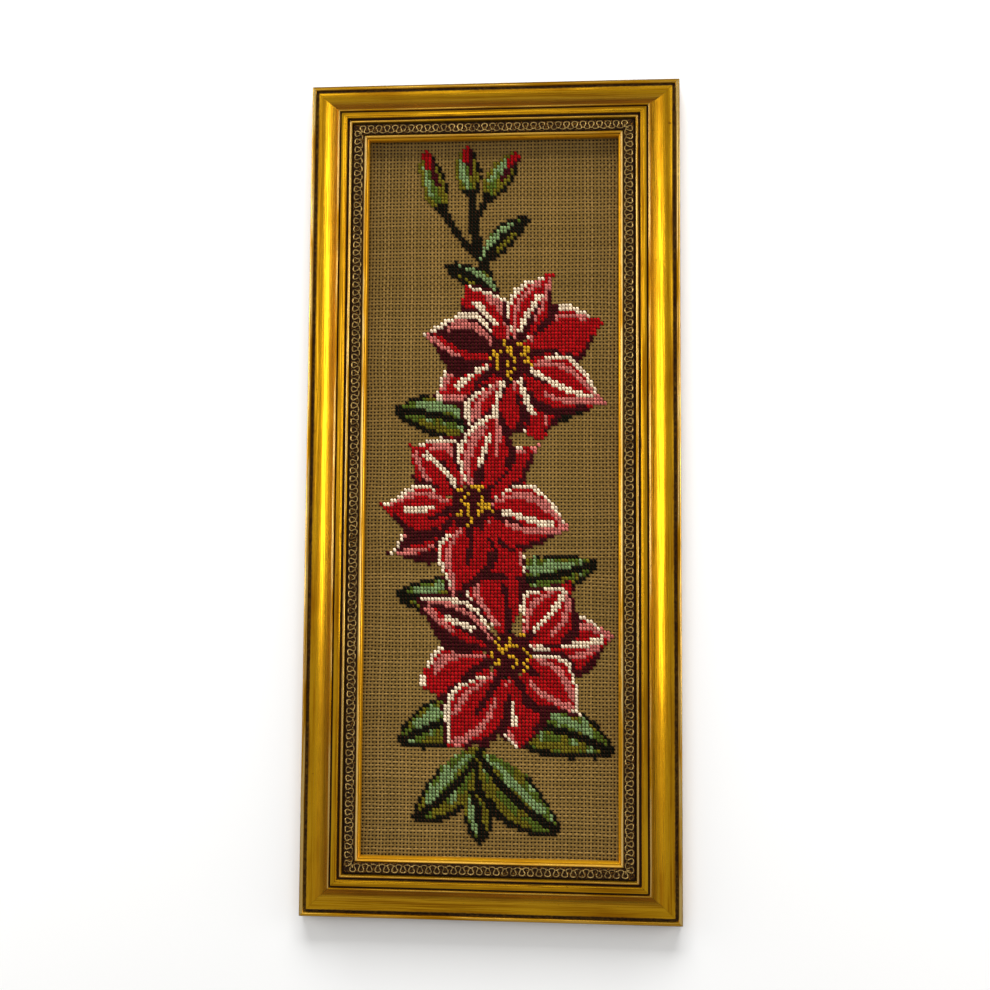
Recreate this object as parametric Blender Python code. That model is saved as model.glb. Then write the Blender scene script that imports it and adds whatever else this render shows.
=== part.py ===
# Needlepoint canvas panel in a mitred gilded frame.
#
# Metres. +Z points out of the stitched face, +Y to its top edge, +X to its right.
# The origin is the centre of the frame's flat back, which is the plane z = 0.
#
# Four lengths of one moulding meet at 45 degrees round the opening. A strip of
# moulded ornament lies in each length's channel. Behind the moulding's lip a
# rabbet holds the canvas, stretched flat, with a board close behind it.

import math
from collections import namedtuple

import bmesh
import bpy

MM = 0.001

# Driving dimensions
SIGHT_WIDTH = 180.0 * MM  # opening seen from the front
SIGHT_HEIGHT = 511.0 * MM
CLEARANCE = 0.3 * MM  # between neighbouring pieces
RABBET_WIDTH = 5.3 * MM
LIP_BACK = 12.4 * MM  # height of the lip's underside over the back
CANVAS_THICKNESS = 1.5 * MM
BOARD_THICKNESS = 3.0 * MM
ORNAMENT_THICKNESS = 1.0 * MM

BEAD_STEPS = 6
COVE_STEPS = 12
COVE_LOW_POINT = 0.12  # share of the cove's width from its outer edge to its lowest line

# The moulding's face from its outer edge inwards. Heights are over the back:
# outer_z and inner_z at a feature's two edges, rise of a bead's crown over them.
Feature = namedtuple("Feature", "name shape width outer_z inner_z rise")
FACE = [
    Feature(*row)
    for row in (
        ("outer_bead", "bead", 3.0, 9.2, 9.2, 1.0),
        ("outer_groove", "flat", 2.0, 8.6, 8.6, 0.0),
        ("cove", "cove", 16.8, 10.2, 20.0, 0.0),
        ("crest_bead", "bead", 1.5, 20.0, 20.0, 0.9),
        ("crest_groove", "flat", 1.3, 19.2, 19.2, 0.0),
        ("fillet", "flat", 2.7, 20.9, 20.9, 0.0),
        ("fillet_bead", "bead", 1.5, 20.6, 20.6, 0.9),
        ("middle_groove", "flat", 1.5, 19.4, 19.4, 0.0),
        ("thin_bead", "bead", 1.8, 20.0, 20.0, 0.9),
        ("deep_groove", "flat", 1.3, 17.4, 17.4, 0.0),
        ("ornament_channel", "flat", 7.5, 18.6, 18.6, 0.0),
        ("slip_rib", "bead", 2.0, 18.4, 18.0, 0.9),
        ("slip_edge", "bead", 1.5, 17.2, 15.2, 0.8),
    )
]

# Worked out from the driving dimensions
MEMBER_WIDTH = sum(feature.width for feature in FACE) * MM
OUTER_WIDTH = SIGHT_WIDTH + 2 * MEMBER_WIDTH
OUTER_HEIGHT = SIGHT_HEIGHT + 2 * MEMBER_WIDTH
MITRE_SETBACK = CLEARANCE / 2 * math.sqrt(2)  # along a member, for half the gap across the mitre
SHEET_WIDTH = SIGHT_WIDTH + 2 * (RABBET_WIDTH - CLEARANCE)
SHEET_HEIGHT = SIGHT_HEIGHT + 2 * (RABBET_WIDTH - CLEARANCE)
CANVAS_BACK = LIP_BACK - CLEARANCE - CANVAS_THICKNESS
BOARD_BACK = CANVAS_BACK - CLEARANCE - BOARD_THICKNESS

# Each side of the frame: its outer face's middle and its turn about Z. Unturned,
# a length runs along X, its outer face looks along -Y and its section along +Y.
Side = namedtuple("Side", "wood ornament length x y turn")
SIDES = (
    Side("rail_bottom", "ornament_bottom", OUTER_WIDTH, 0.0, -OUTER_HEIGHT / 2, 0.0),
    Side("stile_right", "ornament_right", OUTER_HEIGHT, OUTER_WIDTH / 2, 0.0, math.pi / 2),
    Side("rail_top", "ornament_top", OUTER_WIDTH, 0.0, OUTER_HEIGHT / 2, math.pi),
    Side("stile_left", "ornament_left", OUTER_HEIGHT, -OUTER_WIDTH / 2, 0.0, -math.pi / 2),
)

Finish = namedtuple("Finish", "name colour roughness metallic")
GILT = Finish("gilt_wood", (0.62, 0.36, 0.06), 0.36, 0.85)
ORNAMENT = Finish("gilt_ornament", (0.42, 0.22, 0.05), 0.42, 0.7)
CANVAS = Finish("stitched_canvas", (0.25, 0.17, 0.07), 0.9, 0.0)
BOARD = Finish("brown_board", (0.07, 0.035, 0.015), 0.85, 0.0)


def bead_points(feature, start):
    """A half-round rib from its outer foot to its inner foot, in millimetres."""
    points = []
    for step in range(BEAD_STEPS + 1):
        angle = math.pi * step / BEAD_STEPS
        across = (1 - math.cos(angle)) / 2
        foot = feature.outer_z + (feature.inner_z - feature.outer_z) * across
        points.append((start + feature.width * across, foot + feature.rise * math.sin(angle)))
    return points


def cove_points(feature, start):
    """A hollow that dips a little and then climbs steeper and steeper to its inner edge."""
    points = []
    for step in range(COVE_STEPS + 1):
        across = step / COVE_STEPS
        climb = ((across - COVE_LOW_POINT) / (1 - COVE_LOW_POINT)) ** 2
        height = feature.outer_z + (feature.inner_z - feature.outer_z) * climb
        points.append((start + feature.width * across, height))
    return points


def flat_points(feature, start):
    """A level strip."""
    return [(start, feature.outer_z), (start + feature.width, feature.inner_z)]


SHAPES = {"bead": bead_points, "cove": cove_points, "flat": flat_points}


def moulding_section():
    """The closed section as (inset from the outer face, height over the back), in metres."""
    face = []
    start = 0.0
    for feature in FACE:
        for point in SHAPES[feature.shape](feature, start):
            if not face or math.dist(face[-1], point) > 0.001:
                face.append(point)
        start += feature.width
    rabbet_wall = MEMBER_WIDTH - RABBET_WIDTH
    back = [
        (MEMBER_WIDTH, LIP_BACK),
        (rabbet_wall, LIP_BACK),
        (rabbet_wall, 0.0),
        (0.0, 0.0),
    ]
    return [(inset * MM, height * MM) for inset, height in face] + back


def ornament_section():
    """The ornament strip's section: a thin bar in the channel, clear of its walls and floor."""
    names = [feature.name for feature in FACE]
    row = names.index("ornament_channel")
    outer = sum(feature.width for feature in FACE[:row]) * MM + CLEARANCE
    inner = outer + FACE[row].width * MM - 2 * CLEARANCE
    low = FACE[row].outer_z * MM + CLEARANCE
    high = low + ORNAMENT_THICKNESS
    return [(outer, high), (inner, high), (inner, low), (outer, low)]


def make_material(finish):
    """A Principled material in the piece's own colour."""
    material = bpy.data.materials.new(finish.name)
    material.use_nodes = True
    shader = material.node_tree.nodes["Principled BSDF"]
    shader.inputs["Base Color"].default_value = (*finish.colour, 1.0)
    shader.inputs["Roughness"].default_value = finish.roughness
    shader.inputs["Metallic"].default_value = finish.metallic
    material.diffuse_color = (*finish.colour, 1.0)
    return material


def add_object(name, bm, finish):
    """Turns a bmesh into a named object with its own material."""
    bmesh.ops.recalc_face_normals(bm, faces=bm.faces)
    mesh = bpy.data.meshes.new(name)
    bm.to_mesh(mesh)
    bm.free()
    mesh.materials.append(make_material(finish))
    piece = bpy.data.objects.new(name, mesh)
    bpy.context.scene.collection.objects.link(piece)
    return piece


def add_mitred_length(name, section, side, finish):
    """Sweeps a section along one side of the frame, cut at 45 degrees at both ends."""
    bm = bmesh.new()
    ring = []
    for inset, height in section:
        end = side.length / 2 - inset - MITRE_SETBACK
        ring.append(bm.verts.new((-end, inset, height)))
    swept = bmesh.ops.extrude_face_region(bm, geom=[bm.faces.new(ring)])
    for item in swept["geom"]:
        if isinstance(item, bmesh.types.BMVert):
            item.co.x = -item.co.x
    bmesh.ops.recalc_face_normals(bm, faces=bm.faces)
    piece = add_object(name, bm, finish)
    piece.location = (side.x, side.y, 0.0)
    piece.rotation_euler = (0.0, 0.0, side.turn)
    piece.data.shade_smooth()
    piece.data.set_sharp_from_angle(angle=math.radians(35))


def add_sheet(name, thickness, back, finish):
    """A flat sheet that fills the rabbet, with its back at the given height."""
    bm = bmesh.new()
    bmesh.ops.create_cube(bm, size=1.0)
    bmesh.ops.scale(bm, vec=(SHEET_WIDTH, SHEET_HEIGHT, thickness), verts=bm.verts)
    piece = add_object(name, bm, finish)
    piece.location = (0.0, 0.0, back + thickness / 2)


def build():
    for item in list(bpy.data.objects):
        bpy.data.objects.remove(item, do_unlink=True)
    for side in SIDES:
        add_mitred_length(side.wood, moulding_section(), side, GILT)
        add_mitred_length(side.ornament, ornament_section(), side, ORNAMENT)
    add_sheet("needlepoint_canvas", CANVAS_THICKNESS, CANVAS_BACK, CANVAS)
    add_sheet("backing_board", BOARD_THICKNESS, BOARD_BACK, BOARD)


build()
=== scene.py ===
import math
import random

import bmesh
import bpy
import numpy as np
from mathutils import Matrix, Vector, noise


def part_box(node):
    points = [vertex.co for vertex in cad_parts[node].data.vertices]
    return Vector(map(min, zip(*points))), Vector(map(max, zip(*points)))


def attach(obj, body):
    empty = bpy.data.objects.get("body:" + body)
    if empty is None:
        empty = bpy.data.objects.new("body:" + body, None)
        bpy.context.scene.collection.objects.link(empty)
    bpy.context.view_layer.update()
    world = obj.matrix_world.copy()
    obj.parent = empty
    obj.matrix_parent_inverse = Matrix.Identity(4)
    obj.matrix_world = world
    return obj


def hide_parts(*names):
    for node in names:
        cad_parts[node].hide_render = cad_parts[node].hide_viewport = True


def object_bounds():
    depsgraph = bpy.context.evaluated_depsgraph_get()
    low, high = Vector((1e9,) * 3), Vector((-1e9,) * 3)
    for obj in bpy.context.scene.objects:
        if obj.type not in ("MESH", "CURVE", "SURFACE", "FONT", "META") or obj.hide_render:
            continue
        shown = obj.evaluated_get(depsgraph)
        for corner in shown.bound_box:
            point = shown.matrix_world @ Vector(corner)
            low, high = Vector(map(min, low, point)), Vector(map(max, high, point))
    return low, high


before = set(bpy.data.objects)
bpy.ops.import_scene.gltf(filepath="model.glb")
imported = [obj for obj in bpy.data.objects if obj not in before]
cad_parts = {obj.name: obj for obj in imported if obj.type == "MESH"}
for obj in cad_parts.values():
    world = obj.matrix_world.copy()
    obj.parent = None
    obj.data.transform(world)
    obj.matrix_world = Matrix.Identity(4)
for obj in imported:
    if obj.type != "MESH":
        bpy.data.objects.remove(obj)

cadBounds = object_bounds()
mm = 0.001
noise.seed_set(4)  # noise_vector would otherwise start from the clock


def report(stage):
    print("stage:", stage)


def meshObject(name, bm, materials, sharpAngle=None):
    mesh = bpy.data.meshes.new(name)
    bm.to_mesh(mesh)
    bm.free()
    for material in materials:
        mesh.materials.append(material)
    mesh.shade_smooth()
    if sharpAngle:
        mesh.set_sharp_from_angle(angle=math.radians(sharpAngle))
    piece = bpy.data.objects.new(name, mesh)
    bpy.context.scene.collection.objects.link(piece)
    return piece


def settle(piece, slotName, *replacedNodes):
    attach(piece, "root")
    if replacedNodes:
        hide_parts(*replacedNodes)


def writeValues(mesh, name, values):
    layer = mesh.attributes.new(name, "FLOAT", "POINT")
    layer.data.foreach_set("value", np.asarray(values, dtype=np.float32))


# The camera looks almost straight down, from right of and below the panel's middle
camera = {
    "lens": 41.67,
    "sensor": 36.0,
    "place": (0.0607, -0.0545, 0.8238),
    "turn": (0.06445, 0.07097, 0.00407),  # rotation vector, from looking straight down
}

studio = {
    "floorSize": 40.0,
    "floorShade": 0.90,
    "worldShade": (1.0, 1.0, 1.0),
    "horizon": (-0.1, 0.02),
    "worldStrength": (0.1, 0.42),  # below the horizon and above it
    # name, place, aim, width, height, watts, colour, shows in gloss
    "lamps": [
        ("windowLeft", (-1.25, 0.30, 0.40), (0, 0, 0), 0.9, 0.6, 7.6, (1.0, 0.98, 0.93), True),
        ("windowRight", (1.25, 0.20, 0.40), (0, 0, 0), 0.9, 0.6, 7.6, (1.0, 0.98, 0.93), True),
        ("topSky", (0.0, 3.0, 1.18), (0, 0, 0), 2.6, 1.0, 166, (1.0, 1.0, 1.0), False),
        ("overhead", (-0.35, 0.5, 1.6), (0, 0, 0), 1.0, 0.5, 2.7, (1.0, 0.98, 0.93), True),
    ],
}


def addCamera(values):
    data = bpy.data.cameras.new("camera")
    data.lens = values["lens"]
    data.sensor_width = values["sensor"]
    data.clip_start = 0.01
    eye = bpy.data.objects.new("camera", data)
    turn = Vector(values["turn"])
    eye.rotation_euler = Matrix.Rotation(turn.length, 3, turn.normalized()).to_euler()
    eye.location = values["place"]
    bpy.context.scene.collection.objects.link(eye)
    bpy.context.scene.camera = eye


def addFloor(values):
    material = bpy.data.materials.new("palePaper")
    material.use_nodes = True
    shader = material.node_tree.nodes["Principled BSDF"]
    shader.inputs["Base Color"].default_value = (*[values["floorShade"]] * 3, 1)
    shader.inputs["Roughness"].default_value = 0.95
    shader.inputs["Specular IOR Level"].default_value = 0.1
    bm = bmesh.new()
    bmesh.ops.create_grid(bm, x_segments=1, y_segments=1, size=values["floorSize"] / 2)
    floor = meshObject("floor", bm, [material])
    floor.location.z = cadBounds[0][2] - 0.3 * mm
    floor.visible_glossy = False


def addLamp(name, place, aim, width, height, watts, colour, inGloss):
    data = bpy.data.lights.new(name, "AREA")
    data.shape = "RECTANGLE"
    data.size = width
    data.size_y = height
    data.energy = watts
    data.color = colour
    lamp = bpy.data.objects.new(name, data)
    lamp.location = place
    lamp.rotation_euler = (Vector(aim) - Vector(place)).to_track_quat("-Z", "Y").to_euler()
    lamp.visible_glossy = inGloss
    bpy.context.scene.collection.objects.link(lamp)


def addWorld(values):
    world = bpy.data.worlds.new("studioAir")
    world.use_nodes = True
    tree = world.node_tree
    air = tree.nodes["Background"]
    air.inputs["Color"].default_value = (*values["worldShade"], 1)
    split = tree.nodes.new("ShaderNodeSeparateXYZ")
    tree.links.new(objectPlace(tree), split.inputs[0])
    strength = remap(tree, split.outputs["Z"], *values["horizon"], *values["worldStrength"])
    tree.links.new(strength, air.inputs["Strength"])
    bpy.context.scene.world = world


# Short calls for shader nodes, whose values may be plain or another node's output
def feed(tree, socket, value):
    if isinstance(value, bpy.types.NodeSocket):
        tree.links.new(value, socket)
    else:
        socket.default_value = value


def maths(tree, operation, a, b=0.0):
    node = tree.nodes.new("ShaderNodeMath")
    node.operation = operation
    feed(tree, node.inputs[0], a)
    feed(tree, node.inputs[1], b)
    return node.outputs[0]


def mixColours(tree, share, a, b, way="MIX"):
    node = tree.nodes.new("ShaderNodeMix")
    node.data_type = "RGBA"
    node.blend_type = way
    feed(tree, node.inputs[0], share)
    feed(tree, node.inputs[6], a)
    feed(tree, node.inputs[7], b)
    return node.outputs[2]


def remap(tree, value, low, high, toLow=0.0, toHigh=1.0):
    node = tree.nodes.new("ShaderNodeMapRange")
    node.interpolation_type = "SMOOTHSTEP"
    feed(tree, node.inputs["Value"], value)
    for label, number in (("From Min", low), ("From Max", high), ("To Min", toLow), ("To Max", toHigh)):
        feed(tree, node.inputs[label], number)
    return node.outputs["Result"]


def stretched(tree, vector, scale):
    node = tree.nodes.new("ShaderNodeMapping")
    feed(tree, node.inputs["Vector"], vector)
    node.inputs["Scale"].default_value = scale
    return node.outputs["Vector"]


def noiseOf(tree, vector, scale, detail=3.0, roughness=0.55):
    node = tree.nodes.new("ShaderNodeTexNoise")
    feed(tree, node.inputs["Vector"], vector)
    feed(tree, node.inputs["Scale"], scale)
    node.inputs["Detail"].default_value = detail
    node.inputs["Roughness"].default_value = roughness
    return node.outputs["Fac"]


def newGroup(name, inputs, outputs):
    tree = bpy.data.node_groups.new(name, "ShaderNodeTree")
    for label, kind, value in inputs:
        socket = tree.interface.new_socket(label, in_out="INPUT", socket_type=kind)
        if value is not None:
            socket.default_value = value
    for label, kind in outputs:
        tree.interface.new_socket(label, in_out="OUTPUT", socket_type=kind)
    return tree, tree.nodes.new("NodeGroupInput"), tree.nodes.new("NodeGroupOutput")


def placeGroup(tree, group, **values):
    node = tree.nodes.new("ShaderNodeGroup")
    node.node_tree = group
    for label, value in values.items():
        feed(tree, node.inputs[label], value)
    return node.outputs


def newMaterial(name):
    material = bpy.data.materials.new(name)
    material.use_nodes = True
    return material, material.node_tree, material.node_tree.nodes["Principled BSDF"]


def mapOf(tree, name):
    node = tree.nodes.new("ShaderNodeUVMap")
    node.uv_map = name
    return node.outputs["UV"]


def objectPlace(tree):
    return tree.nodes.new("ShaderNodeTexCoord").outputs["Object"]


def attributeOf(tree, name):
    node = tree.nodes.new("ShaderNodeAttribute")
    node.attribute_name = name
    return node.outputs["Fac"]


def addBump(tree, shader, height, distance, strength=1.0):
    node = tree.nodes.new("ShaderNodeBump")
    feed(tree, node.inputs["Height"], height)
    node.inputs["Distance"].default_value = distance
    node.inputs["Strength"].default_value = strength
    tree.links.new(node.outputs["Normal"], shader.inputs["Normal"])


# Where soft-edged patterns begin and end on a noise or a share of 0 to 1
patternEdges = {
    "stroke": (0.40, 0.60),
    "line": (0.62, 0.72),
    "waxAndShade": (0.25, 0.9),
    "cloud": (0.35, 0.7),
    "wearAndHighlight": (0.2, 0.7),
    "grain": (0.3, 0.7),
    "pore": (0.55, 0.7),
    "thread": (0.3, 0.75),
    "fuzz": (0.2, 0.8),
}


def makeStrokesGroup():
    # Long fine strokes that run along u of a map in metres
    tree, start, end = newGroup(
        "lengthStrokes",
        [
            ("Map", "NodeSocketVector", None),
            ("Fineness", "NodeSocketFloat", 900.0),
            ("Stretch", "NodeSocketFloat", 0.02),
        ],
        [("Shade", "NodeSocketFloat"), ("Line", "NodeSocketFloat")],
    )
    split = tree.nodes.new("ShaderNodeSeparateXYZ")
    tree.links.new(start.outputs["Map"], split.inputs[0])
    join = tree.nodes.new("ShaderNodeCombineXYZ")
    tree.links.new(maths(tree, "MULTIPLY", split.outputs[0], start.outputs["Stretch"]), join.inputs[0])
    tree.links.new(split.outputs[1], join.inputs[1])
    fine = noiseOf(tree, join.outputs[0], start.outputs["Fineness"], 3.0, 0.6)
    coarseness = maths(tree, "MULTIPLY", start.outputs["Fineness"], 0.28)
    coarse = noiseOf(tree, join.outputs[0], coarseness, 2.0)
    both = maths(tree, "ADD", maths(tree, "MULTIPLY", fine, 0.55), maths(tree, "MULTIPLY", coarse, 0.45))
    tree.links.new(remap(tree, both, *patternEdges["stroke"]), end.inputs["Shade"])
    tree.links.new(remap(tree, fine, *patternEdges["line"]), end.inputs["Line"])
    return tree


def makeDirtAndShadeGroup():
    # Dark wax and painted shade in the low places, thinned out over the edges beside them
    tree, start, end = newGroup(
        "grooveDirtAndShade",
        [
            ("Place", "NodeSocketVector", None),
            ("Groove", "NodeSocketFloat", 0.0),
            ("Spread", "NodeSocketFloat", 0.4),
        ],
        [("Mask", "NodeSocketFloat")],
    )
    patches = noiseOf(tree, start.outputs["Place"], 420.0, 4.0, 0.65)
    shift = maths(tree, "MULTIPLY", maths(tree, "SUBTRACT", patches, 0.5), start.outputs["Spread"])
    depth = maths(tree, "ADD", start.outputs["Groove"], shift)
    tree.links.new(remap(tree, depth, *patternEdges["waxAndShade"]), end.inputs["Mask"])
    return tree


def makeSpecksGroup():
    # Scattered small nicks and specks
    tree, start, end = newGroup(
        "specks",
        [
            ("Place", "NodeSocketVector", None),
            ("Scale", "NodeSocketFloat", 300.0),
            ("Rarity", "NodeSocketFloat", 0.72),
        ],
        [("Mask", "NodeSocketFloat")],
    )
    grain = noiseOf(tree, start.outputs["Place"], start.outputs["Scale"], 2.0, 0.5)
    rarer = maths(tree, "ADD", start.outputs["Rarity"], 0.06)
    tree.links.new(remap(tree, grain, start.outputs["Rarity"], rarer), end.inputs["Mask"])
    return tree


def makeTwistGroup():
    # Plies that wind round a strand. u runs along it and v round it.
    tree, start, end = newGroup(
        "twistedPlies",
        [
            ("Map", "NodeSocketVector", None),
            ("Turns", "NodeSocketFloat", 3.0),
            ("Plies", "NodeSocketFloat", 3.0),
        ],
        [("Height", "NodeSocketFloat"), ("Fuzz", "NodeSocketFloat")],
    )
    split = tree.nodes.new("ShaderNodeSeparateXYZ")
    tree.links.new(start.outputs["Map"], split.inputs[0])
    along = maths(tree, "MULTIPLY", split.outputs[0], start.outputs["Turns"])
    around = maths(tree, "MULTIPLY", split.outputs[1], start.outputs["Plies"])
    wave = maths(tree, "SINE", maths(tree, "MULTIPLY", maths(tree, "ADD", along, around), 2 * math.pi))
    fuzz = noiseOf(tree, start.outputs["Map"], 14.0, 4.0, 0.7)
    tree.links.new(maths(tree, "ADD", maths(tree, "MULTIPLY", wave, 0.5), fuzz), end.inputs["Height"])
    tree.links.new(fuzz, end.inputs["Fuzz"])
    return tree


def makeGrainGroup():
    # Wood or board fibres along one direction of a map in metres
    tree, start, end = newGroup(
        "woodFibres",
        [("Map", "NodeSocketVector", None), ("Scale", "NodeSocketFloat", 120.0)],
        [("Shade", "NodeSocketFloat"), ("Pores", "NodeSocketFloat")],
    )
    long = stretched(tree, start.outputs["Map"], (0.05, 1.0, 1.0))
    grain = noiseOf(tree, long, start.outputs["Scale"], 4.0)
    tree.links.new(remap(tree, grain, *patternEdges["grain"]), end.inputs["Shade"])
    pores = noiseOf(tree, long, maths(tree, "MULTIPLY", start.outputs["Scale"], 9.0), 2.0)
    tree.links.new(remap(tree, pores, *patternEdges["pore"]), end.inputs["Pores"])
    return tree


addCamera(camera)
addFloor(studio)
addWorld(studio)
for row in studio["lamps"]:
    addLamp(*row)
bpy.context.scene.view_settings.view_transform = "Standard"
report("camera, floor and lamps")

strokesGroup = makeStrokesGroup()
dirtAndShadeGroup = makeDirtAndShadeGroup()
specksGroup = makeSpecksGroup()
twistGroup = makeTwistGroup()
grainGroup = makeGrainGroup()

finish = {
    "gold": (0.82, 0.435, 0.012, 1),
    "goldDull": (0.40, 0.160, 0.003, 1),
    "meander": (0.78, 0.52, 0.17, 1),
    "meanderDull": (0.12, 0.062, 0.018, 1),
    "bronze": (0.74, 0.34, 0.012, 1),
    # Pale rubbed gold on bead crowns, which is also a painted highlight
    "worn": (0.84, 0.66, 0.30, 1),
    "redClay": (0.20, 0.055, 0.006, 1),
    "waxAndShade": (0.020, 0.006, 0.001, 1),
    "goldRoughness": (0.21, 0.40),
    "ground": (0.018, 0.008, 0.003, 1),
    "pine": (0.42, 0.26, 0.13, 1),
    "pineDark": (0.24, 0.13, 0.06, 1),
    # The board's brown, darkened to stand in for the shade seen through the canvas holes: painted shade
    "board": (0.020, 0.011, 0.005, 1),
    "boardDark": (0.010, 0.005, 0.003, 1),
    "canvas": (0.385, 0.235, 0.064, 1),
    "canvasDark": (0.250, 0.150, 0.036, 1),
    "print": (0.095, 0.022, 0.010, 1),  # the design's printed ground under the wool, one dark colour that is also painted shade between the stitches
}

gilding = {
    "strokeFineness": 900.0,
    "cloudScale": 26.0,
    "nickScale": 260.0,
    "nickRarity": 0.73,
    "nickDepth": 1.5,  # against the strokes' relief
    # how much of each is mixed in where it is fullest
    "clouds": 0.35,
    "bronze": 0.4,
    "lines": 0.8,
    "nicks": 0.7,
    "wearAndHighlight": 0.7,
    "slipDullness": 0.35,
    "waxAndShadeDullness": 0.95,
    "waxAndShadeRoughness": 0.3,
    "specular": 0.12,
    "relief": 0.05 * mm,
    "reliefStrength": 0.7,
}


def makeGilt(name, dirtAndShadeSpread, stretch, gold, goldDull):
    material, tree, shader = newMaterial(name)

    def part(kind, value):
        return maths(tree, "MULTIPLY", value, gilding[kind])

    place = objectPlace(tree)
    strokes = placeGroup(
        tree, strokesGroup, Map=mapOf(tree, "lay"), Fineness=gilding["strokeFineness"], Stretch=stretch
    )
    groove = attributeOf(tree, "groove")
    dirtAndShade = placeGroup(tree, dirtAndShadeGroup, Place=place, Groove=groove, Spread=dirtAndShadeSpread)["Mask"]
    nicks = placeGroup(
        tree, specksGroup, Place=place, Scale=gilding["nickScale"], Rarity=gilding["nickRarity"]
    )["Mask"]
    cloudy = remap(tree, noiseOf(tree, place, gilding["cloudScale"], 2.0), *patternEdges["cloud"])
    slip = attributeOf(tree, "slip")
    crownWearAndHighlight = attributeOf(tree, "crownWearAndHighlight")
    wearAndHighlight = maths(tree, "MULTIPLY", crownWearAndHighlight, remap(tree, strokes["Shade"], *patternEdges["wearAndHighlight"]))

    colour = mixColours(tree, strokes["Shade"], goldDull, gold)
    colour = mixColours(tree, part("clouds", cloudy), colour, gold)
    colour = mixColours(tree, part("bronze", slip), colour, finish["bronze"])
    colour = mixColours(tree, part("lines", strokes["Line"]), colour, finish["redClay"])
    colour = mixColours(tree, part("nicks", nicks), colour, finish["redClay"])
    # Paler bead crowns: rubbed gold and a painted highlight
    colour = mixColours(tree, part("wearAndHighlight", wearAndHighlight), colour, finish["worn"])
    # Dark wax and painted shade in grooves, at bead feet and down the meander's flanks
    colour = mixColours(tree, dirtAndShade, colour, finish["waxAndShade"])
    tree.links.new(colour, shader.inputs["Base Color"])

    low, high = finish["goldRoughness"]
    rough = remap(tree, strokes["Shade"], 0.0, 1.0, high, low)
    tree.links.new(maths(tree, "ADD", rough, part("waxAndShadeRoughness", dirtAndShade)), shader.inputs["Roughness"])
    dulled = maths(tree, "MAXIMUM", dirtAndShade, part("slipDullness", slip))
    metal = maths(tree, "SUBTRACT", 1.0, part("waxAndShadeDullness", dulled))
    tree.links.new(metal, shader.inputs["Metallic"])
    shader.inputs["Specular IOR Level"].default_value = gilding["specular"]
    height = maths(tree, "SUBTRACT", strokes["Shade"], part("nickDepth", nicks))
    addBump(tree, shader, height, gilding["relief"], gilding["reliefStrength"])
    return material


wood = {"grainScale": 140.0, "poreShare": 0.5, "sheenOfLight": 0.12, "poreDepth": -0.08 * mm}


def makeWood(name, light, dark, mapped, roughness):
    material, tree, shader = newMaterial(name)
    lay = mapOf(tree, "lay") if mapped else objectPlace(tree)
    grain = placeGroup(tree, grainGroup, Map=lay, Scale=wood["grainScale"])
    colour = mixColours(tree, grain["Shade"], dark, light)
    pores = maths(tree, "MULTIPLY", grain["Pores"], wood["poreShare"])
    colour = mixColours(tree, pores, colour, dark)
    tree.links.new(colour, shader.inputs["Base Color"])
    rough = remap(tree, grain["Shade"], 0, 1, roughness, roughness - wood["sheenOfLight"])
    tree.links.new(rough, shader.inputs["Roughness"])
    addBump(tree, shader, grain["Pores"], wood["poreDepth"])
    return material


ground = {
    "wearScale": 900.0,
    "wearRarity": 0.56,
    "wearShare": 0.35,
    "roughness": (0.75, 0.45),  # untouched and worn
    "specular": 0.1,
    "reliefScale": 1500.0,
    "relief": 0.1 * mm,
}


def makeGround():
    material, tree, shader = newMaterial("ornamentGround")
    place = objectPlace(tree)
    specks = placeGroup(
        tree, specksGroup, Place=place, Scale=ground["wearScale"], Rarity=ground["wearRarity"]
    )
    worn = specks["Mask"]
    share = maths(tree, "MULTIPLY", worn, ground["wearShare"])
    colour = mixColours(tree, share, finish["ground"], finish["goldDull"])
    tree.links.new(colour, shader.inputs["Base Color"])
    tree.links.new(remap(tree, worn, 0, 1, *ground["roughness"]), shader.inputs["Roughness"])
    shader.inputs["Specular IOR Level"].default_value = ground["specular"]
    addBump(tree, shader, noiseOf(tree, place, ground["reliefScale"]), ground["relief"])
    return material


cotton = {
    "fibreScale": 2600.0,
    "soilScale": 14.0,
    "soilShare": 0.22,
    "printAndShadeShare": 0.9,
    "roughness": (0.95, 0.8),  # between the fibres and on them
    "specular": 0.2,
    "relief": 0.12 * mm,
}


def makeCanvasThread():
    material, tree, shader = newMaterial("canvasThread")
    place = objectPlace(tree)
    tone = attributeOf(tree, "tone")
    fibres = noiseOf(tree, place, cotton["fibreScale"], 3.0, 0.65)
    soiling = remap(tree, noiseOf(tree, place, cotton["soilScale"], 3.0), *patternEdges["cloud"])
    shade = maths(tree, "ADD", maths(tree, "MULTIPLY", fibres, 0.5), maths(tree, "MULTIPLY", tone, 0.5))
    soiled = maths(tree, "MULTIPLY", soiling, cotton["soilShare"])
    # Threads under stitches take one dark colour: printed ground and painted shade between the stitches
    printedAndShaded = maths(tree, "MULTIPLY", attributeOf(tree, "printedAndShaded"), cotton["printAndShadeShare"])
    light = remap(tree, shade, *patternEdges["thread"])
    colour = mixColours(tree, light, finish["canvasDark"], finish["canvas"])
    colour = mixColours(tree, soiled, colour, finish["canvasDark"])
    colour = mixColours(tree, printedAndShaded, colour, finish["print"])
    tree.links.new(colour, shader.inputs["Base Color"])
    tree.links.new(remap(tree, fibres, 0, 1, *cotton["roughness"]), shader.inputs["Roughness"])
    shader.inputs["Specular IOR Level"].default_value = cotton["specular"]
    addBump(tree, shader, fibres, cotton["relief"])
    return material


yarn = {
    "turns": 2.0,
    "plies": 2.0,
    "toneRange": (0.72, 1.12),  # from one stitch to another
    "fuzzRange": (0.8, 1.12),
    "roughness": 0.92,
    "specular": 0.05,
    "sheen": 0.01,
    "sheenRoughness": 0.5,
    "relief": 0.1 * mm,
    "reliefStrength": 0.8,
}


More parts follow.
